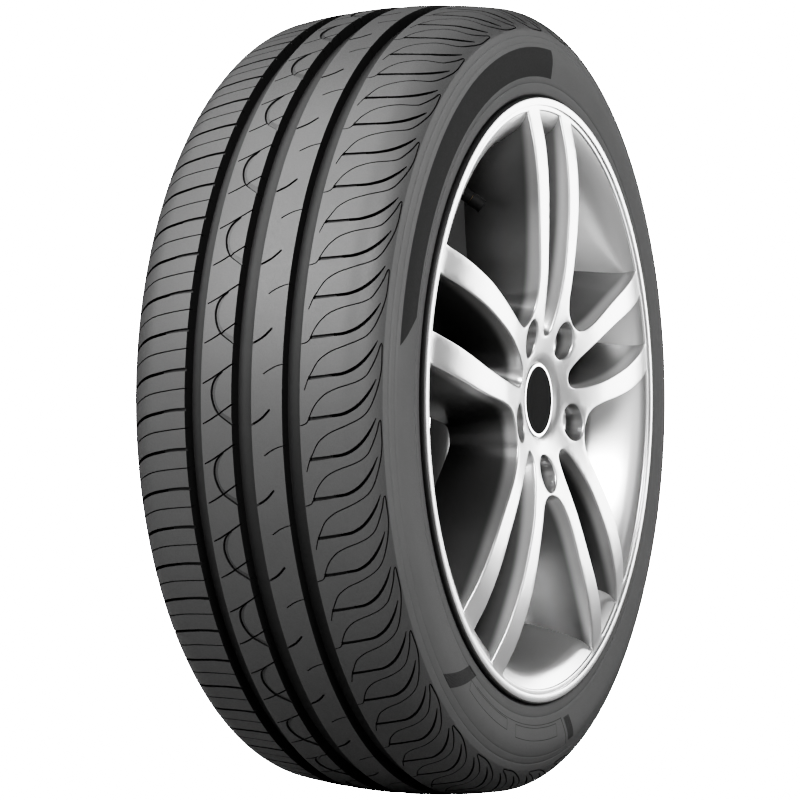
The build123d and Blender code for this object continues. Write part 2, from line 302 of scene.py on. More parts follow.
# Section of the sidewall, bead and inner wall as (radius, axial place), from the tread inwards and back
SIDE = [(283.2, 96.75), (282.0, 97.25), (280.8, 97.75), (279.6, 98.25), (279.3, 98.05), (278.9, 98.2),
        (278.6, 98.65), (277.4, 99.15), (276.0, 99.75), (274.4, 100.4), (274.1, 100.25), (273.7, 100.4),
        (273.4, 100.8), (272.0, 101.35), (270.0, 102.05), (268.0, 102.6), (266.0, 102.95),
        (263.5, 103.2), (261.0, 103.2), (258.0, 103.0), (255.0, 102.7), (252.2, 102.35),
        (249.0, 101.85), (246.5, 101.5), (244.4, 101.25), (244.1, 100.75), (243.3, 100.7),
        (243.0, 101.15), (240.5, 101.05), (237.5, 100.95), (236.0, 100.75), (235.1, 100.3),
        (234.6, 99.5), (234.2, 98.3), (232.0, 97.3), (228.5, 95.85), (226.4, 95.05), (225.0, 94.95),
        (220.4, 94.95), (217.6, 93.6), (216.0, 90.75), (214.7, 76.3), (220.0, 75.05), (236.0, 86.0),
        (252.0, 92.3), (262.0, 94.0), (272.0, 93.8), (283.0, 84.0), (289.5, 69.0), (292.3, 40.0)]


def ring_mesh(name, verts, faces, loop_normals, materials, kinds):
    """Object with its own normals and a material slot for each face."""
    mesh = bpy.data.meshes.new(name)
    mesh.from_pydata([tuple(v) for v in verts], [], faces)
    mesh.polygons.foreach_set("use_smooth", [True] * len(mesh.polygons))
    mesh.update()
    mesh.normals_split_custom_set(loop_normals)
    for material in materials:
        mesh.materials.append(material)
    mesh.polygons.foreach_set("material_index", kinds)
    obj = bpy.data.objects.new(name, mesh)
    bpy.context.scene.collection.objects.link(obj)
    return obj


# Material slot of each kind of face. Groove floors, cuts and walls take darker rubber as painted shade in the
# recesses; the chamfer takes darker tread as painted shade on its slope.
TONES = {"tread": 0, "chamfer": 4, "shallow": 1, "groove": 1, "fine": 2, "sipe": 2, "cut": 2, "wall": 2}


def build_tyre(materials):
    """The tread tile repeated round the tyre, closed by rings along the section of both sides."""
    tile, tile_normals, keys, tile_faces, marks = tread_tile()
    count = len(tile)
    starts = {(kind, t): i for i, (kind, t, s) in enumerate(keys) if s == 0.0}
    twin = {i: starts[kind, t] for i, (kind, t, s) in enumerate(keys) if s == PITCH and (kind, t) in starts}
    verts, normals = [], []
    for k in range(TILES):
        back = tile[:, 2] + k * PITCH / TREAD_R
        verts.append(spin(tile[:, 0], tile[:, 1], back))
        normals.append(spin(tile_normals[:, 0], tile_normals[:, 1], back))
    verts, normals = np.concatenate(verts) * MM, np.concatenate(normals)

    def place(i, k):
        return twin[i] + count * ((k + 1) % TILES) if i in twin else i + count * k

    def facing(points):
        n = np.cross(points[2] - points[0], points[-1] - points[1])
        return n / max(np.linalg.norm(n), 1e-12)

    faces, loops, tones = [], [], []
    reverse = facing(verts[list(tile_faces[0])]) @ normals[tile_faces[0][0]] < 0
    for k in range(TILES):
        for face, mark in zip(tile_faces, marks):
            face = [place(i, k) for i in (face[::-1] if reverse else face)]
            faces.append(face)
            tones.append(TONES[mark])
            loops.extend([facing(verts[face])] * 4 if mark == "wall" else normals[face])
    rims = {}
    for side in (-1, 1):
        found = {round(s * RIM_POINTS / PITCH): i
                 for i, (kind, t, s) in enumerate(keys) if abs(t - side * T_END) < 0.01}
        rims[side] = [found[j] + count * k for k in range(TILES) for j in range(RIM_POINTS)]
    around = np.arange(TILES * RIM_POINTS) * 2 * pi / (TILES * RIM_POINTS)
    n_around = len(around)
    rows = SIDE + [(r, -a) for r, a in reversed(SIDE)]

    def row(pair):
        return spin(np.full(n_around, pair[0]), np.full(n_around, pair[1]), around)

    base = len(verts)
    verts = np.concatenate([verts] + [row(pair) * MM for pair in rows])
    between = [[base + i * n_around + j for j in range(n_around)] for i in range(len(rows))]
    ring = [rims[1]] + between + [rims[-1]]
    end = on_tread(T_END)
    line = np.array([end[:2]] + rows + [(end[0], -end[1])])
    run = np.gradient(line, axis=0)
    out = np.stack([-run[:, 1], run[:, 0]], 1) / np.linalg.norm(run, axis=1)[:, None]
    if out[5][1] < 0:
        out = -out
    out[0], out[-1] = end[2:], (end[2], -end[3])
    row_normals = [row(pair) for pair in out]
    flip = None
    for i in range(len(ring) - 1):
        for j in range(n_around):
            k = (j + 1) % n_around
            face = [ring[i][j], ring[i][k], ring[i + 1][k], ring[i + 1][j]]
            pick = [row_normals[i][j], row_normals[i][k], row_normals[i + 1][k], row_normals[i + 1][j]]
            if flip is None:
                flip = facing(verts[face]) @ pick[0] < 0
            faces.append(face[::-1] if flip else face)
            loops.extend(pick[::-1] if flip else pick)
            tones.append(3)
    used = sorted({i for face in faces for i in face})
    order = {i: n for n, i in enumerate(used)}
    verts, faces = verts[used], [[order[i] for i in face] for face in faces]
    return ring_mesh("tyre_body", verts, faces, [tuple(n) for n in loops], materials, tones)


# Wheel: each window is a stack of closed loops from the rounded edge at the face down the drafted walls to the
# back of the disc; the face, disc back and hub face are flat meshes cut to those loops; the rim is turned.
WINDOW_R, FACE_RIM = 222.5, -102.6
LIP_R, WELL_R, HUB_PAD_R, CAP_SEAT_R, BORE_R = 226.6, 190.0, 76.0, 33.75, 32.05
BACK, HUB_FACE, CAP_SEAT = -54.0, -50.0, -95.2
EDGE = 1.3  # rounding of window and pocket edges
EDGE_ROWS = [radians(d) for d in (0, 22.5, 45, 67.5, 90)]
FLANK_ROWS = [0.06, 0.13, 0.2, 0.3, 0.4, 0.5, 0.6, 0.7, 0.8, 0.9, 1.0]  # shares of the way from face to back
WINDOW_POINTS, NARROW_ARC, WIDE_ARC = 91, 8, 26  # points of a window's side and of its arc at the rim
HUB_POINTS, LUG_POINTS, RELIEF_POINTS = 96, 48, 32
TURN_STEP = radians(0.9)
FACE_SPAN, FACE_RING, FACE_STEP = (38.0, 226.0), 4.5, 5.0  # where plain points lie on the face, their spacing
FACE_CLEAR = 1.6  # and their least distance from an edge
DRAFT = 13.0 / 55.0
LUG_CIRCLE, LUG_R = 57.15, 14.5
LUG_LINE = [(14.4, -88.6), (14.1, -87.4), (13.4, -86.5), (12.5, -86.1), (11.3, -86.0), (10.9, -85.7),
            (7.25, -79.4), (7.25, HUB_FACE)]
RELIEF_LINE = [(9.5, HUB_FACE), (9.5, -67.0), (8.5, -68.0)]
CHANNEL_ENDS, CHANNEL_SIDE, CHANNEL_HALF = (118, 178), 31.5, 6.5
CHANNEL_LINE = [(0.0, BACK), (1.0, -82.0), (2.0, -84.0)]  # how much narrower, at which depth
SHARP, JOIN = radians(32), 4e-6  # edges bent more than this stay sharp; points nearer than this (m) are joined


def table_line(points, per=12):
    """A smooth curve as two columns to look values up in."""
    line = smooth_line(points, per)
    return line[:, 0], line[:, 1]


FACE = table_line([(CAP_SEAT_R, CAP_SEAT), (45.0, -98.0), (62.0, -102.0), (85.0, -106.1),
                   (105.0, -108.6), (135.0, -110.1), (165.0, -110.35), (195.0, -108.0), (WINDOW_R, FACE_RIM)])
FUNNEL = table_line([(FACE_RIM, WINDOW_R), (-99.2, 216.5), (-95.25, 211.5), (-85.0, 204.5), (-71.0, 197.0),
                     (-57.0, WELL_R), (BACK, WELL_R)])
# Half outlines of the windows as (along the ray, beside it), and where their tips lie on the ray
WIDE_TIP, NARROW_TIP, NARROW_BACK_TIP = 74.2, 50.0, 90.2
half_wide = [(76.2, 10.8), (80.6, 17.2), (86.5, 22.2), (98.5, 29.5), (111.9, 36.5), (126.3, 43.9),
             (143.9, 53.8), (156.5, 61.8), (179.2, 76.6), (205.7, 94.6), (245.0, 121.3)]
half_narrow = [(51.3, 4.6), (55.5, 7.8), (65.0, 11.0), (77.0, 13.5), (96.0, 16.5), (112.0, 18.3),
               (130.0, 19.7), (150.0, 20.7), (180.0, 21.0), (222.0, 21.2), (245.0, 21.3)]
half_narrow_back = [(90.5, 1.4), (92.0, 2.7), (95.5, 3.7), (101.5, 4.6), (110.0, 5.5), (120.0, 6.4),
                    (131.0, 7.2), (150.0, 7.6), (180.0, 8.0), (222.0, 8.6), (245.0, 8.9)]


def face_at(r):
    """Axial place of the domed face at a radius."""
    return np.interp(r, *FACE)


def both_sides(tip, half):
    """Outline from the rim on one side round the tip to the rim on the other."""
    return smooth_line([(u, -w) for u, w in reversed(half)] + [(tip, 0.0)] + list(half), 10)


def normals_of(line):
    """Unit normals along a flat line."""
    run = np.gradient(line, axis=0)
    run /= np.linalg.norm(run, axis=1)[:, None]
    return np.stack([-run[:, 1], run[:, 0]], 1)


def trimmed(line, radius, shares):
    """The part of an outline within a radius, as points at the given shares of its length."""
    size = np.linalg.norm(line, axis=1)
    first = np.argmax(size < radius)
    last = len(size) - 1 - np.argmax(size[::-1] < radius)

    def cross(i, j):
        return line[i] + (line[j] - line[i]) * (radius - size[i]) / (size[j] - size[i])

    part = np.vstack([cross(first, first - 1), line[first:last + 1], cross(last, last + 1)])
    far = np.concatenate([[0.0], np.cumsum(np.linalg.norm(np.diff(part, axis=0), axis=1))])
    return np.stack([np.interp(shares * far[-1], far, part[:, k]) for k in (0, 1)], 1)


def window_loops(front, back, count, arc_count, angle):
    """Closed loops of one window as (x, axial, z), from the face to the back of the disc."""
    x = np.linspace(-1, 1, count)
    shares = 0.5 + 0.5 * np.sign(x) * np.abs(x) ** 1.5
    outward = normals_of(front)
    if outward[len(outward) // 2][0] > 0:
        outward = -outward
    base = trimmed(front, WINDOW_R, shares)
    face = face_at(np.linalg.norm(base, axis=1))
    loops = []

    def close(line, radius, depths, rim_depth):
        t0, t1 = (atan2(p[1], p[0]) for p in (line[-1], line[0]))
        turn = np.linspace(t0, t1, arc_count + 2)[1:-1]
        u = np.concatenate([line[:, 0], radius * np.cos(turn)])
        w = np.concatenate([line[:, 1], radius * np.sin(turn)])
        a = np.concatenate([depths, np.full(arc_count, rim_depth)])
        c, s = cos(angle), sin(angle)
        loops.append(np.stack([u * s + w * c, a, u * c - w * s], 1))

    for turn in EDGE_ROWS:
        grow, sink = EDGE * (1 - sin(turn)), EDGE * (1 - cos(turn))
        line = trimmed(front + outward * grow, WINDOW_R + grow, shares)
        depths = face_at(np.linalg.norm(line, axis=1)) + sink
        depths[[0, -1]] = FACE_RIM + sink
        close(line, WINDOW_R + grow, depths, FACE_RIM + sink)
    for share in FLANK_ROWS:
        rim = (1 - share) * (FACE_RIM + EDGE) + share * BACK
        radius = np.interp(rim, *FUNNEL)
        line = trimmed(front + (back - front) * share, radius, shares)
        close(line, radius, (1 - share) * (face + EDGE) + share * BACK, rim)
    return loops


def circle(radius, count, centre=(0.0, 0.0), axial=0.0):
    turn = np.arange(count) * 2 * pi / count
    x, z = centre[0] + radius * np.sin(turn), centre[1] + radius * np.cos(turn)
    return np.stack([x, np.full(count, float(axial)), z], 1)


# The flank and inside slots hold silver painted darker as shade.
FACE_SIDE, FLANK, INSIDE = 0, 1, 2  # material slots of the wheel


class Shape:
    """Collects points and faces; equal points are joined at the end."""

    def __init__(self):
        self.points, self.faces, self.kinds, self.count = [], [], [], 0

    def add(self, points):
        self.points.append(np.asarray(points, float))
        self.count += len(points)
        return list(range(self.count - len(points), self.count))

    def strip(self, loops, kind=lambda row, i: FACE_SIDE):
        """Faces between closed loops of equal length."""
        rows = [self.add(loop) for loop in loops]
        for n, (a, b) in enumerate(zip(rows, rows[1:])):
            for i in range(len(a)):
                j = (i + 1) % len(a)
                self.faces.append((a[i], a[j], b[j], b[i]))
                self.kinds.append(kind(n, i))

    def cap(self, loop, kind):
        self.faces.append(tuple(self.add(loop)))
        self.kinds.append(kind)

    def sheet(self, outlines, holes, extra, keep, height, kind):
        """Flat mesh in x and z bounded by closed outlines, without the holes, lifted to its height."""
        points, edges = [], []
        for loop in outlines + holes:
            start = len(points)
            points += [(p[0], p[2]) for p in loop]
            edges += [(start + i, start + (i + 1) % len(loop)) for i in range(len(loop))]
        points += [tuple(p) for p in extra]
        flat, tris = flat_mesh(points, edges)
        middle = flat[np.array(tris)].mean(axis=1)
        good = keep(np.linalg.norm(middle, axis=1))
        for hole in holes:
            good &= ~inside(middle, hole[:, [0, 2]])
        index = self.add(np.stack([flat[:, 0], height(np.linalg.norm(flat, axis=1)), flat[:, 1]], 1))
        self.faces += [tuple(index[i] for i in tri) for tri, ok in zip(tris, good) if ok]
        self.kinds += [kind] * int(good.sum())


# Turned section of the rim from the inside of the lip over both flanges to the back of the disc, and of the hub
RIM_LINE = [(LIP_R, FACE_RIM), (LIP_R, -103.5), (226.75, -103.85), (227.1, -104.0), (231.2, -104.0),
            (232.3, -103.8), (233.05, -103.2), (233.3, -102.4), (233.3, -100.3), (233.0, -99.55),
            (231.9, -98.75), (227.4, -96.6), (225.6, -95.8), (223.4, -95.25), (215.9, -95.25),
            (214.15, -75.25), (211.6, -72.0), (199.4, -61.6), (197.0, -58.5), (197.0, -10.0),
            (198.6, -6.0), (208.4, 6.2), (210.0, 9.5), (210.0, 73.25), (214.15, 75.25), (215.9, 95.25),
            (223.4, 95.25), (225.6, 95.8), (227.4, 96.6), (231.9, 98.75), (233.0, 99.55),
            (233.3, 100.3), (233.3, 102.4), (233.05, 103.2), (232.3, 103.8), (231.2, 104.0),
            (227.2, 104.0), (225.6, 103.3), (212.0, 95.9), (210.4, 94.2), (204.6, 77.0), (204.0, 74.0),
            (204.0, 7.0), (203.0, 4.0), (191.0, -8.5), (WELL_R, -11.0), (WELL_R, BACK)]
# Beyond the lip the rim takes the inside slot: near-black silver as painted shade, which also paints the dark
# line at the flange's outer edge.
LIP_END = (232.3, -103.8)  # from here on the rim has the tone of the inside
HUB_LINE = [(BORE_R, HUB_FACE), (BORE_R, -70.0), (25.2, -70.0), (25.2, -88.6), (28.5, -88.6),
            (28.5, -91.7), (28.9, -92.3), (CAP_SEAT_R, CAP_SEAT)]


def on_ray(angle, u, w=0.0):
    """Place (x, z) at a distance along a ray from the axis and beside it."""
    return u * sin(angle) + w * cos(angle), u * cos(angle) - w * sin(angle)


def flat_at(level):
    return lambda r: np.full(len(r), level)


def build_wheel(materials):
    shape = Shape()
    wide = both_sides(WIDE_TIP, half_wide)
    inward = normals_of(wide)
    if inward[len(inward) // 2][0] < 0:
        inward = -inward
    drop = BACK - face_at(np.linalg.norm(wide, axis=1))
    wide_back = wide + inward * (drop * DRAFT)[:, None]
    narrow = both_sides(NARROW_TIP, half_narrow)
    narrow_back = both_sides(NARROW_BACK_TIP, half_narrow_back)
    windows, lugs, reliefs, channels = [], [], [], []
    for k in range(5):
        pair, between = radians(72 * k), radians(72 * k + 36)
        windows.append(window_loops(narrow, narrow_back, WINDOW_POINTS, NARROW_ARC, pair))
        windows.append(window_loops(wide, wide_back, WINDOW_POINTS, WIDE_ARC, between))
        centre = on_ray(between, LUG_CIRCLE)
        rows = []
        for turn in EDGE_ROWS:
            row = circle(LUG_R + EDGE * (1 - sin(turn)), LUG_POINTS, centre)
            row[:, 1] = face_at(np.linalg.norm(row[:, [0, 2]], axis=1)) + EDGE * (1 - cos(turn))
            rows.append(row)
        lugs.append(rows + [circle(r, LUG_POINTS, centre, a) for r, a in LUG_LINE])
        reliefs.append([circle(r, RELIEF_POINTS, on_ray(pair, LUG_CIRCLE), a) for r, a in RELIEF_LINE])
        for side in (-1, 1):
            rows = []
            for shrink, depth in CHANNEL_LINE:
                near, far, half = CHANNEL_ENDS[0] + shrink, CHANNEL_ENDS[1] - shrink, CHANNEL_HALF - shrink
                corners = [(near, -half), (far, -half), (far, half), (near, half)]
                places = [on_ray(pair, u, side * CHANNEL_SIDE + w) for u, w in corners]
                rows.append(np.array([(x, depth, z) for x, z in places]))
            channels.append(rows)
    edge_end = len(EDGE_ROWS) - 1
    for rows in windows:
        shape.strip(rows, lambda row, i: FLANK if row >= edge_end and i < WINDOW_POINTS - 1 else FACE_SIDE)
    for rows in lugs:
        shape.strip(rows, lambda row, i: FLANK if row == edge_end else FACE_SIDE)
    for rows in reliefs + channels:
        shape.strip(rows, lambda row, i: INSIDE)
        shape.cap(rows[-1], INSIDE)
    ends = [rows[-1] for rows in windows]
    on_rim = np.concatenate(ends)
    on_rim = on_rim[np.abs(np.linalg.norm(on_rim[:, [0, 2]], axis=1) - WELL_R) < 0.01]
    turns = sorted(np.arctan2(on_rim[:, 0], on_rim[:, 2]))
    filled = []
    for a, b in zip(turns, turns[1:] + [turns[0] + 2 * pi]):
        if b - a > 1e-5:
            steps = max(1, int(round((b - a) / TURN_STEP)))
            filled += [a + (b - a) * i / steps for i in range(steps)]
    turns = np.array(filled)

    def turned(r, a):
        return np.stack([r * np.sin(turns), np.full(len(turns), a), r * np.cos(turns)], 1)

    lip_end = RIM_LINE.index(LIP_END)
    shape.strip([turned(r, a) for r, a in RIM_LINE], lambda row, i: FACE_SIDE if row < lip_end else INSIDE)
    shape.strip([circle(r, HUB_POINTS, axial=a) for r, a in HUB_LINE])
    shape.strip([circle(HUB_PAD_R, HUB_POINTS, axial=a) for a in (HUB_FACE, BACK)])
    fronts = [rows[0] for rows in windows + lugs]
    extra = []
    for i, r in enumerate(np.arange(*FACE_SPAN, FACE_RING)):
        n = int(2 * pi * r / FACE_STEP)
        turn = (np.arange(n) + 0.5 * (i % 2)) * 2 * pi / n
        extra.append(np.stack([r * np.sin(turn), r * np.cos(turn)], 1))
    extra = np.concatenate(extra)
    clear = np.full(len(extra), 1e9)
    for loop in fronts:
        clear = np.minimum(clear, near_line(extra, np.vstack([loop, loop[:1]])[:, [0, 2]]))
        clear[inside(extra, loop[:, [0, 2]])] = 0
    extra = extra[clear > FACE_CLEAR]
    shape.sheet([turned(LIP_R, FACE_RIM), circle(CAP_SEAT_R, HUB_POINTS)], fronts, extra,
                lambda r: (r > CAP_SEAT_R - 0.01) & (r < LIP_R), face_at, FACE_SIDE)
    shape.sheet([turned(WELL_R, BACK), circle(HUB_PAD_R, HUB_POINTS)],
                ends + [rows[0] for rows in channels], [],
                lambda r: (r > HUB_PAD_R - 0.1) & (r < WELL_R), flat_at(BACK), INSIDE)
    shape.sheet([circle(HUB_PAD_R, HUB_POINTS), circle(BORE_R, HUB_POINTS)],
                [rows[-1] for rows in lugs] + [rows[0] for rows in reliefs], [],
                lambda r: (r > BORE_R - 0.05) & (r < HUB_PAD_R), flat_at(HUB_FACE), INSIDE)

    bm = bmesh.new()
    verts = [bm.verts.new(p * MM) for p in np.concatenate(shape.points)]
    for face, kind in zip(shape.faces, shape.kinds):
        bm.faces.new([verts[i] for i in face]).material_index = kind
    bmesh.ops.remove_doubles(bm, verts=bm.verts, dist=JOIN)
    loose = [v for v in bm.verts if not v.link_faces]
    bmesh.ops.delete(bm, geom=loose, context="VERTS")
    bmesh.ops.recalc_face_normals(bm, faces=bm.faces)
    for e in bm.edges:
        e.smooth = len(e.link_faces) == 2 and e.calc_face_angle(0) < SHARP
    for f in bm.faces:
        f.smooth = True
    mesh = bpy.data.meshes.new("alloy_body")
    bm.to_mesh(mesh)
    bm.free()
    for material in materials:
        mesh.materials.append(material)
    obj = bpy.data.objects.new("alloy_body", mesh)
    bpy.context.scene.collection.objects.link(obj)
    return obj


class Nodes:
    """Small helper to write node trees."""

    def __init__(self, name):
        self.material = bpy.data.materials.new(name)
        self.material.use_nodes = True
        self.tree = self.material.node_tree
        self.tree.nodes.clear()
        self.out = self.tree.nodes.new("ShaderNodeOutputMaterial")
        self.bsdf = self.tree.nodes.new("ShaderNodeBsdfPrincipled")
        self.link(self.bsdf.outputs[0], self.out.inputs["Surface"])

    def link(self, a, b):
        self.tree.links.new(a, b)

    def put(self, socket, value):
        if isinstance(value, bpy.types.NodeSocket):
            self.link(value, socket)
        else:
            socket.default_value = value

    def math(self, op, a, b=0.0, c=0.0):
        node = self.tree.nodes.new("ShaderNodeMath")
        node.operation = op
        for socket, value in zip(node.inputs, (a, b, c)):
            self.put(socket, value)
        return node.outputs[0]

    def coords(self):
        return self.tree.nodes.new("ShaderNodeTexCoord").outputs["Object"]

    def split(self, vector):
        node = self.tree.nodes.new("ShaderNodeSeparateXYZ")
        self.link(vector, node.inputs[0])
        return node.outputs

    def noise(self, vector, scale, detail=4.0, rough=0.55):
        node = self.tree.nodes.new("ShaderNodeTexNoise")
        self.link(vector, node.inputs["Vector"])
        node.inputs["Scale"].default_value = scale
        node.inputs["Detail"].default_value = detail
        node.inputs["Roughness"].default_value = rough
        return node.outputs[0]

    def band(self, value, low, high, soft):
        """1 between low and high, 0 outside, over a soft edge."""
        up = self.ramp(value, low - soft, low + soft)
        down = self.ramp(value, high - soft, high + soft)
        return self.math("SUBTRACT", up, down)

    def ramp(self, value, low, high, out0=0.0, out1=1.0):
        node = self.tree.nodes.new("ShaderNodeMapRange")
        node.interpolation_type = "SMOOTHSTEP"
        self.put(node.inputs[0], value)
        for socket, number in zip(list(node.inputs)[1:5], (low, high, out0, out1)):
            socket.default_value = number
        return node.outputs[0]

    def mix(self, share, a, b):
        node = self.tree.nodes.new("ShaderNodeMix")
        node.data_type = "RGBA"
        self.put(node.inputs[0], share)
        self.put(node.inputs[6], a)
        self.put(node.inputs[7], b)
        return node.outputs[2]

    def bump(self, height, distance, strength=1.0):
        node = self.tree.nodes.new("ShaderNodeBump")
        node.inputs["Strength"].default_value = strength
        node.inputs["Distance"].default_value = distance
        self.put(node.inputs["Height"], height)
        self.link(node.outputs[0], self.bsdf.inputs["Normal"])

    def set(self, **values):
        for name, value in values.items():
            self.put(self.bsdf.inputs[name.replace("_", " ")], value)


def grey(level):
    return (level, level, level, 1.0)


# Marks of the sidewall, in metres and in degrees clockwise from the top as seen from outside:
# (inner radius, outer radius, start, end, lean of the ends in radians per metre)
PANEL_R, PANEL_MID, PANEL_TURN, PANEL_LEAN = (0.2485, 0.2707), 0.2594, (-79.5, 0.8), -4.2
BARS = [(0.2425, 0.2737, 218.5, 221.9, 4.0), (0.2505, 0.2705, 170.1, 172.6, -1.45)]
FRAMES = [(0.2508, 0.2595, 199.6, 216.9), (0.2518, 0.2618, 177.2, 195.8)]
LINES = [(0.2496, 0.2500, 174.4, 214.0), (0.2500, 0.2726, 173.5, 173.7, -1.6)]
FRAME_WIDTH = 0.0004
MARK_SOFT = 0.0002
RIB_LEAN, RIB_STEP, RIB_EDGES = (0.35, 0.26), 0.0008, (0.0001, 0.0007)  # ribs of the hatched bars
OUTBOARD = -0.08  # marks lie only on the side beyond this
RUBBER_GRAIN, RUBBER_CLOUD = (900.0, 5.0), (14.0, 3.0)  # scale and detail of the noises


def tread_material(name, low, high):
    n = Nodes(name)
    at = n.coords()
    grain = n.noise(at, *RUBBER_GRAIN)
    cloud = n.noise(at, *RUBBER_CLOUD)
    n.set(Base_Color=n.mix(cloud, grey(low), grey(high)), Roughness=n.ramp(grain, 0.3, 0.7, 0.50, 0.62))
    n.set(Specular_IOR_Level=0.45)
    n.bump(grain, 0.0002, 0.25)
    return n.material


def sidewall_material():
    """Matt rubber with the bare panel, two hatched bars and thin lines where the sidewall carries its marks."""
    n = Nodes("sidewall_rubber")
    at = n.coords()
    x, y, z = n.split(at)
    radius = n.math("SQRT", n.math("ADD", n.math("MULTIPLY", x, x), n.math("MULTIPLY", z, z)))
    turn = n.math("ARCTAN2", x, z)
    round_turn = n.math("FLOORED_MODULO", turn, 2 * pi)
    outside = n.math("LESS_THAN", y, OUTBOARD)
    grain = n.noise(at, *RUBBER_GRAIN)
    cloud = n.noise(at, *RUBBER_CLOUD)

    def field(r0, r1, t0, t1, lean=0.0):
        """1 inside a piece of ring, its ends leaning by an angle per metre of radius."""
        across = n.band(radius, r0, r1, MARK_SOFT)
        shifted = n.math("MULTIPLY_ADD", n.math("SUBTRACT", radius, (r0 + r1) / 2), -lean, round_turn)
        along = n.band(shifted, radians(t0), radians(t1), MARK_SOFT * 4)
        return n.math("MULTIPLY", n.math("MULTIPLY", across, along), outside)

    def frame_line(r0, r1, t0, t1):
        edge = degrees(FRAME_WIDTH / r0)
        hole = field(r0 + FRAME_WIDTH, r1 - FRAME_WIDTH, t0 + edge, t1 - edge)
        return n.math("SUBTRACT", field(r0, r1, t0, t1), hole)

    def total(parts):
        result = parts[0]
        for part in parts[1:]:
            result = n.math("ADD", result, part)
        return result

    start = n.math("MULTIPLY_ADD", n.math("SUBTRACT", radius, PANEL_MID), PANEL_LEAN, radians(PANEL_TURN[0]))
    before_end = n.math("LESS_THAN", turn, radians(PANEL_TURN[1]))
    along = n.math("MULTIPLY", n.math("GREATER_THAN", turn, start), before_end)
    panel = n.math("MULTIPLY", n.math("MULTIPLY", n.band(radius, *PANEL_R, MARK_SOFT), along), outside)
    hatch = total([field(*bar) for bar in BARS])
    ribs = total([n.math("MULTIPLY", radius, RIB_LEAN[0]), n.math("MULTIPLY", round_turn, RIB_LEAN[1])])
    ribs = n.ramp(n.math("PINGPONG", ribs, RIB_STEP), *RIB_EDGES)
    lines = total([frame_line(*frame) for frame in FRAMES] + [field(*line) for line in LINES])
    tone = n.mix(cloud, grey(0.086), grey(0.098))
    tone = n.mix(panel, tone, grey(0.030))
    tone = n.mix(n.math("MULTIPLY", hatch, n.math("MULTIPLY_ADD", ribs, -0.3, 0.75)), tone, grey(0.018))
    tone = n.mix(n.math("MULTIPLY", lines, 0.75), tone, grey(0.020))
    n.set(Base_Color=tone, Roughness=n.ramp(grain, 0.3, 0.7, 0.76, 0.88))
    n.set(Specular_IOR_Level=0.08)
    raised = n.math("MULTIPLY", n.math("MULTIPLY", ribs, hatch), 2.0)
    height = n.math("ADD", n.math("MULTIPLY", grain, 0.25), raised)
    height = n.math("SUBTRACT", height, n.math("ADD", lines, panel))
    n.bump(height, 0.0002, 1.0)
    return n.material


# The wheel's face is close to a parabola: radius and place of its top, and bend per metre
FACE_TOP_R, FACE_TOP, FACE_BEND = 0.158, -0.1105, 1.05


def silver_material(name, level, painted_shade_fades=()):
    """Silver lacquer; each fade darkens it towards a level as painted shade deeper in the recesses: (depth
    below the wheel face where it starts, where it ends, level there).
    """
    n = Nodes(name)
    at = n.coords()
    x, y, z = n.split(at)
    radius = n.math("SQRT", n.math("ADD", n.math("MULTIPLY", x, x), n.math("MULTIPLY", z, z)))
    bulge = n.math("POWER", n.math("ABSOLUTE", n.math("SUBTRACT", radius, FACE_TOP_R)), 2.0)
    depth = n.math("SUBTRACT", y, n.math("MULTIPLY_ADD", bulge, FACE_BEND, FACE_TOP))
    flake = n.noise(at, 2600.0, 2.0)
    cloud = n.noise(at, 9.0, 3.0)
    tone = n.mix(cloud, grey(0.95 * level), grey(1.05 * level))
    for start, end, there in painted_shade_fades:
        tone = n.mix(n.ramp(depth, start, end), tone, grey(there))
    n.set(Base_Color=tone, Roughness=n.ramp(flake, 0.3, 0.7, 0.28, 0.34))
    n.set(Metallic=0.9, Coat_Weight=0.2, Coat_Roughness=0.12)
    n.bump(flake, 0.00004, 0.15)
    return n.material


def plain_material(name, low, high, rough, metal=0.0, scale=300.0, shine=0.5):
    """A finely grained finish between two tones."""
    n = Nodes(name)
    at = n.coords()
    grain = n.noise(at, scale, 4.0)
    n.set(Base_Color=n.mix(grain, low, high), Roughness=n.ramp(grain, 0.3, 0.7, rough, rough + 0.08))
    n.set(Metallic=metal, Specular_IOR_Level=shine)
    n.bump(grain, 0.00008, 0.15)
    return n.material


def dress(node, material):
    """Gives a solid that is shown as it is its material."""
    obj = frame["nodes"][node]
    obj.data.materials.clear()
    obj.data.materials.append(material)


tyre_piece = build_tyre([
    tread_material("tread_rubber", 0.042, 0.050),
    # groove and shallow-cut floors: darker rubber as painted shade
    plain_material("groove_floor_painted_shade", grey(0.026), grey(0.034), 0.62, scale=900.0, shine=0.2),
    # walls and narrow cuts: near-black rubber as painted shade
    plain_material("groove_wall_painted_shade", grey(0.006), grey(0.010), 0.7, scale=900.0, shine=0.2),
    sidewall_material(),
    # the chamfer band: darker tread as painted shade on its slope
    tread_material("tread_chamfer_painted_shade", 0.026, 0.031),
])
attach(tyre_piece, "root")
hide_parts("tyre")

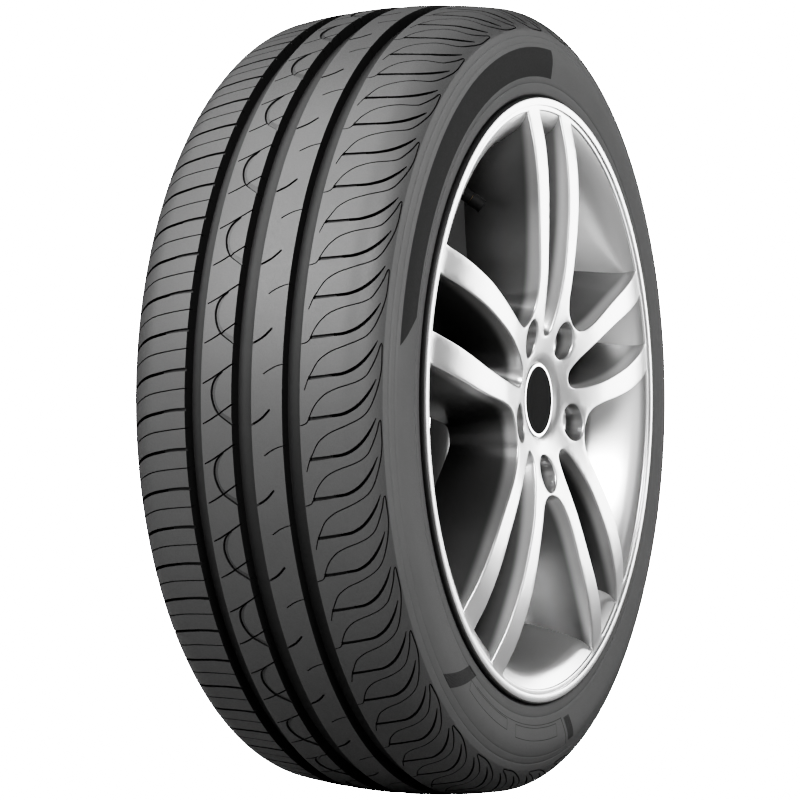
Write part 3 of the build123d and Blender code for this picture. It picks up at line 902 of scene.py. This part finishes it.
wheel_piece = build_wheel([
    silver_material("silver_face", 0.58),
    # Flanks: a darker copy of the silver, darker still deeper below the face, as painted shade.
    silver_material("silver_flank_painted_shade", 0.45, [(0.005, 0.012, 0.13), (0.012, 0.055, 0.07)]),
    # Barrel, disc back, hub face, reliefs and channels: near-black silver as painted shade.
    silver_material("silver_inside_painted_shade", 0.15),
])
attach(wheel_piece, "root")
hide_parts("alloy_wheel")
dress("centre_cap", plain_material("cap_rim", grey(0.72), grey(0.8), 0.16, 1.0))
dress("cap_disc", plain_material("cap_disc", grey(0.010), grey(0.014), 0.6, 0.0, 700.0, 0.03))
dress("valve_stem", plain_material("valve_rubber", grey(0.010), grey(0.016), 0.7, shine=0.1))
dress("valve_tube", plain_material("valve_brass", (0.16, 0.11, 0.05, 1), (0.20, 0.14, 0.07, 1), 0.55, 1.0))
dress("valve_cap", plain_material("valve_cap", grey(0.010), grey(0.016), 0.6, shine=0.1))


PAPER = 20.0  # strength of the white that the camera sees
ROOM_FRONT, ROOM_BACK = (-0.6, 0.10), (0.35, 0.02)  # direction along the axis and the light from there
FLOOR_HALF, FLOOR_LEVEL = 12.0, -0.3087


def studio():
    """Backdrop and floor, white to the camera only, in a room that is lighter in front of the wheel."""
    world = bpy.data.worlds.new("studio")
    bpy.context.scene.world = world
    world.use_nodes = True
    tree = world.node_tree
    tree.nodes.clear()
    place = tree.nodes.new("ShaderNodeTexCoord")
    axes = tree.nodes.new("ShaderNodeSeparateXYZ")
    shade = tree.nodes.new("ShaderNodeMapRange")
    room = tree.nodes.new("ShaderNodeBackground")
    paper = tree.nodes.new("ShaderNodeBackground")
    path = tree.nodes.new("ShaderNodeLightPath")
    mix = tree.nodes.new("ShaderNodeMixShader")
    out = tree.nodes.new("ShaderNodeOutputWorld")
    tree.links.new(place.outputs["Generated"], axes.inputs[0])
    tree.links.new(axes.outputs["Y"], shade.inputs[0])
    limits = (ROOM_FRONT[0], ROOM_BACK[0], ROOM_FRONT[1], ROOM_BACK[1])
    for socket, number in zip(list(shade.inputs)[1:5], limits):
        socket.default_value = number
    tree.links.new(shade.outputs[0], room.inputs["Strength"])
    paper.inputs["Strength"].default_value = PAPER
    tree.links.new(path.outputs["Is Camera Ray"], mix.inputs[0])
    tree.links.new(room.outputs[0], mix.inputs[1])
    tree.links.new(paper.outputs[0], mix.inputs[2])
    tree.links.new(mix.outputs[0], out.inputs[0])
    mesh = bpy.data.meshes.new("floor")
    corners = [(x * FLOOR_HALF, y * FLOOR_HALF, FLOOR_LEVEL) for x, y in ((-1, -1), (1, -1), (1, 1), (-1, 1))]
    mesh.from_pydata(corners, [], [(0, 1, 2, 3)])
    floor = bpy.data.objects.new("floor", mesh)
    bpy.context.scene.collection.objects.link(floor)
    n = Nodes("floor_paint")
    soft = n.noise(n.coords(), 3.0, 2.0)
    seen = n.tree.nodes.new("ShaderNodeLightPath").outputs["Is Camera Ray"]
    n.set(Base_Color=n.mix(seen, grey(0.25), n.mix(soft, grey(0.90), grey(0.92))), Roughness=0.8)
    n.set(Emission_Color=grey(1.0), Emission_Strength=n.math("MULTIPLY", seen, PAPER))
    mesh.materials.append(n.material)


def lamp(name, place, target, size, power):
    """A softbox at a place, turned to a target."""
    data = bpy.data.lights.new(name, "AREA")
    data.shape = "RECTANGLE"
    data.size, data.size_y = size
    data.energy = power
    obj = bpy.data.objects.new(name, data)
    obj.location = place
    obj.rotation_mode = "QUATERNION"
    obj.rotation_quaternion = (Vector(target) - Vector(place)).to_track_quat("-Z", "Y")
    bpy.context.scene.collection.objects.link(obj)


bpy.context.scene.view_settings.look = "AgX - High Contrast"
studio()
lamp("right", (2.7, -1.3, 0.25), (0, 0, 0), (1.3, 2.0), 54)
lamp("top_left", (-2.6, 1.0, 1.7), (0, 0, 0.05), (1.4, 1.4), 160)
lamp("top_back", (-0.8, 1.0, 2.6), (0, 0.1, 0), (1.0, 1.0), 45)
lamp("front", (-0.75, -2.4, 0.2), (0, 0, 0), (3.0, 2.4), 30)
lamp("front_left", (-1.9, -1.7, 1.7), (0, 0, 0), (1.2, 1.2), 112)

# The photo's camera, fitted to the outline of the tyre, the rim and the grooves
CAMERA_AT, CAMERA_AIM = (-1.7437, -0.8035, 0.0), (0, 0.026, 0)
camera_data = bpy.data.cameras.new("camera")
camera_data.sensor_width = 36.0
camera_data.lens = 109.18
camera_data.clip_end = 100.0
camera = bpy.data.objects.new("camera", camera_data)
camera.location = CAMERA_AT
camera.rotation_mode = "QUATERNION"
camera.rotation_quaternion = (Vector(CAMERA_AIM) - Vector(CAMERA_AT)).to_track_quat("-Z", "Y")
bpy.context.scene.collection.objects.link(camera)
bpy.context.scene.camera = camera
